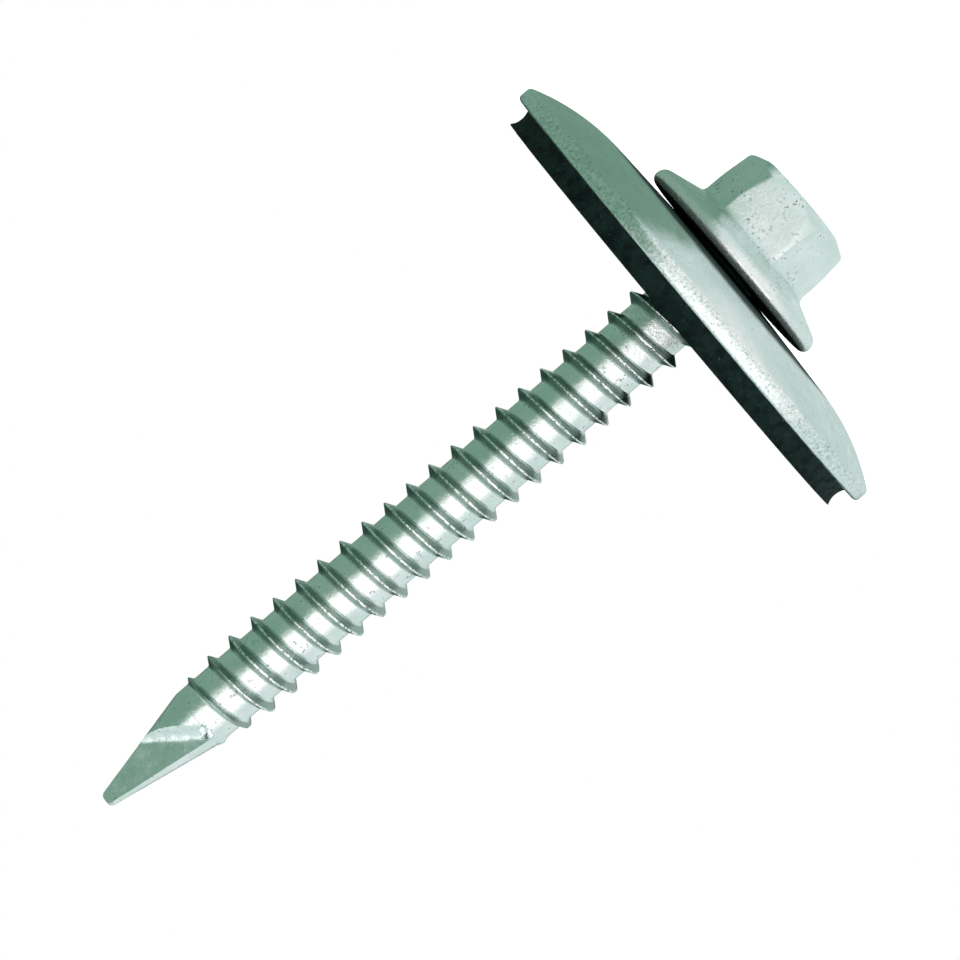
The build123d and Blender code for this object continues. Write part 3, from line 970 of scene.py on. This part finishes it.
LAMP_PLACE = (-0.12, -0.27, 0.17)
LAMP_TARGET = (0, 0, 0.04)
LAMP_SIZE = (0.46, 0.34)
LAMP_POWER = 0.28             # watts
PHOTO_SIZE = 960
PHOTO_SCALE = 16.364          # pixels to a millimetre where the view's axis meets the screw
CAMERA_DISTANCE = 207.6
CAMERA_RISE = radians(3.4)    # how far the view looks up at the screw
CAMERA_ROLL = radians(130.548)
AIM = Vector((-0.114, 0, 25.91))
SENSOR = 36.0


def make_camera():
    """The view of the photo, looking slightly up at the screw."""
    data = bpy.data.cameras.new("camera")
    data.sensor_width = SENSOR
    data.lens = SENSOR * CAMERA_DISTANCE * PHOTO_SCALE / PHOTO_SIZE
    data.clip_start = 0.01
    data.clip_end = 10
    camera = bpy.data.objects.new("camera", data)
    bpy.context.scene.collection.objects.link(camera)
    away = Vector((0, -cos(CAMERA_RISE), -sin(CAMERA_RISE)))
    level = Vector((1, 0, 0))
    up = away.cross(level)
    turn = Matrix((level, up, away)).transposed().to_4x4()
    roll = Matrix.Rotation(-CAMERA_ROLL, 4, "Z")
    camera.matrix_world = Matrix.Translation((AIM + away * CAMERA_DISTANCE) * MM) @ turn @ roll
    bpy.context.scene.camera = camera


def along(tree, direction, axis):
    """How far a direction points along an axis."""
    return add_node(tree, "ShaderNodeVectorMath", {0: direction, 1: axis},
                    operation="DOT_PRODUCT").outputs["Value"]


def studio_colour(tree, direction):
    """What shiny metal mirrors: a light studio, white by the lamp, green on one side, grey behind."""
    back = between(tree, along(tree, direction, BACK), *BACK_BAND)
    colour = blend(tree, back, STUDIO_LIGHT, STUDIO_GREY)
    front = between(tree, along(tree, direction, BRIGHT_SIDE), *BRIGHT_BAND)
    colour = blend(tree, front, colour, STUDIO_WHITE)
    side = between(tree, along(tree, direction, GREEN_SIDE), *GREEN_BAND)
    return blend(tree, side, colour, STUDIO_GREEN)


def floor_card(tree):
    """The studio's colours as the floor shows them to shiny metal, by direction from the screw."""
    place = add_node(tree, "ShaderNodeTexCoord").outputs["Object"]
    far = add_node(tree, "ShaderNodeVectorMath", {0: place}, operation="LENGTH").outputs["Value"]
    shrink = maths(tree, "DIVIDE", 1.0, maths(tree, "ADD", far, FLOOR_SOFTNESS))
    towards = add_node(tree, "ShaderNodeVectorMath", {0: place, "Scale": shrink}, operation="SCALE")
    colour = studio_colour(tree, towards.outputs["Vector"])
    card = add_node(tree, "ShaderNodeEmission", {"Color": colour, "Strength": 1.0})
    return card.outputs["Emission"]


def floor_material():
    """White to the camera, grey to light, and the studio's colours to shiny metal."""
    material, tree, shader = new_material("floor")
    path = add_node(tree, "ShaderNodeLightPath")
    shader.inputs["Base Color"].default_value = FLOOR_COLOUR
    shader.inputs["Roughness"].default_value = FLOOR_ROUGHNESS
    shader.inputs["Specular IOR Level"].default_value = 0.0
    shader.inputs["Emission Color"].default_value = (1, 1, 1, 1)
    seen = times(tree, path.outputs["Is Camera Ray"], FLOOR_GLOW)
    tree.links.new(seen, shader.inputs["Emission Strength"])
    choice = add_node(tree, "ShaderNodeMixShader",
                      {0: path.outputs["Is Glossy Ray"], 1: shader.outputs["BSDF"],
                       2: floor_card(tree)})
    tree.links.new(choice.outputs["Shader"], tree.nodes["Material Output"].inputs["Surface"])
    return material


def make_floor():
    """The pale floor that the screw stands on."""
    corners = [(-1, -1), (1, -1), (1, 1), (-1, 1)]
    mesh = bpy.data.meshes.new("floor")
    mesh.from_pydata([(x * FLOOR_REACH, y * FLOOR_REACH, 0) for x, y in corners], [],
                     [(0, 1, 2, 3)])
    floor = bpy.data.objects.new("floor", mesh)
    bpy.context.scene.collection.objects.link(floor)
    mesh.materials.append(floor_material())


def make_lamp():
    """One large soft lamp, in front and to the left."""
    data = bpy.data.lights.new("key", "AREA")
    data.shape = "RECTANGLE"
    data.size, data.size_y = LAMP_SIZE
    data.energy = LAMP_POWER
    lamp = bpy.data.objects.new("key", data)
    bpy.context.scene.collection.objects.link(lamp)
    place = Vector(LAMP_PLACE)
    turn = (place - Vector(LAMP_TARGET)).to_track_quat("Z", "Y")
    lamp.matrix_world = Matrix.Translation(place) @ turn.to_matrix().to_4x4()


def make_world():
    """White to the camera; the studio with its dark back and top to everything else."""
    world = bpy.data.worlds.new("world")
    bpy.context.scene.world = world
    world.use_nodes = True
    tree = world.node_tree
    background = tree.nodes["Background"]
    path = add_node(tree, "ShaderNodeLightPath")
    direction = add_node(tree, "ShaderNodeTexCoord").outputs["Generated"]
    overhead = between(tree, along(tree, direction, DARK_TOP), *DARK_TOP_BAND)
    behind = between(tree, along(tree, direction, BACK), *BACK_DARK_BAND)
    dark = maths(tree, "MAXIMUM", overhead, behind)
    sky = blend(tree, dark, studio_colour(tree, direction), STUDIO_DARK)
    colour = blend(tree, path.outputs["Is Camera Ray"], sky, (1, 1, 1, 1))
    tree.links.new(colour, background.inputs["Color"])
    background.inputs["Strength"].default_value = 1.0


make_camera()
make_floor()
make_world()
make_lamp()

screw = make_screw()
shade(screw, SCREW_SHARP)
screw.data.materials.clear()
screw.data.materials.append(zinc("screw_zinc", SCREW_PALE, SCREW_GREEN, SCREW_ROUGHNESS,
                                 SCREW_SPECKLE, screw_gap_shade, screw_painted_light, flange_rim_highlight))
washer = make_steel_washer()
shade(washer, WASHER_SHARP)
washer.data.materials.append(zinc("washer_zinc", WASHER_PALE, WASHER_GREEN, WASHER_ROUGHNESS,
                                  WASHER_SPECKLE, washer_gap_shade, washer_rim_highlight))
seal = make_rubber_seal()
shade(seal, SEAL_SHARP)
seal.data.materials.append(rubber("seal_rubber"))

bpy.context.scene.view_settings.view_transform = "Standard"
